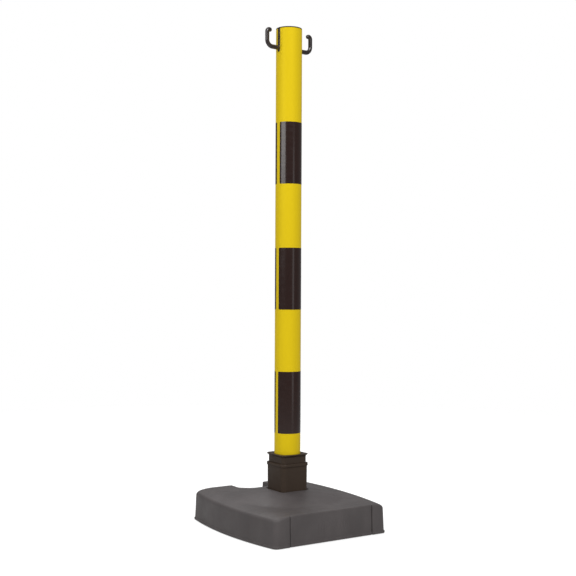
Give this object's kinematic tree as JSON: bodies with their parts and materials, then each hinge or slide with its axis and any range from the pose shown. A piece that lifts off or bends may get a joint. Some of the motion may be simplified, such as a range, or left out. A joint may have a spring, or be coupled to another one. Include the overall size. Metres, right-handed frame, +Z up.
{
  "type": "delineator post",
  "caption": "Black and yellow delineator post with two chain hooks, plugged by a square adapter into a low ballasted base",
  "frame": {"origin": "on the floor under the post's axis, which is the middle of the base", "axes": "+Z up along the post, X within 5 degrees of the two chain hooks and through the base's bulged sides, +Y towards the side with the hand notch, -Y towards the side with the sunk panel"},
  "size_m": [0.277, 0.3, 0.9538],
  "materials": {
    "base_grey": "satin",
    "ballast_concrete": "matte",
    "screw_steel": "satin",
    "foot_rubber": "matte",
    "socket_black": "satin",
    "post_yellow": "satin",
    "band_black": "gloss"
  },
  "bodies": {
    "base": {"base_shell": "base_grey", "ballast_block": "ballast_concrete", "base_plate": "base_grey", "plate_screw_1": "screw_steel", "plate_screw_2": "screw_steel", "plate_screw_3": "screw_steel", "plate_screw_4": "screw_steel", "rubber_foot_1": "foot_rubber", "rubber_foot_2": "foot_rubber", "rubber_foot_3": "foot_rubber", "rubber_foot_4": "foot_rubber", "socket_sleeve": "socket_black"},
    "adapter": {"post_adapter": "socket_black"},
    "post": {"post_tube": "post_yellow", "band_lower": "band_black", "band_middle": "band_black", "band_upper": "band_black"},
    "hooks": {"hook_insert": "socket_black"},
    "cap": {"top_cap": "socket_black"}
  },
  "joints": [
    {"name": "post_lift", "type": "slide", "parent": "base", "child": "adapter", "axis": [0, 0, 1], "range_m": [0, 0.12]},
    {"name": "post_swivel", "type": "hinge", "parent": "adapter", "child": "post", "pos_m": [0, 0, 0.1], "axis": [0, 0, 1], "continuous": true},
    {"name": "hook_lift", "type": "slide", "parent": "post", "child": "hooks", "axis": [0, 0, 1], "range_m": [0, 0.055]},
    {"name": "cap_pull", "type": "slide", "parent": "hooks", "child": "cap", "axis": [0, 0, 1], "range_m": [0, 0.02]}
  ]
}
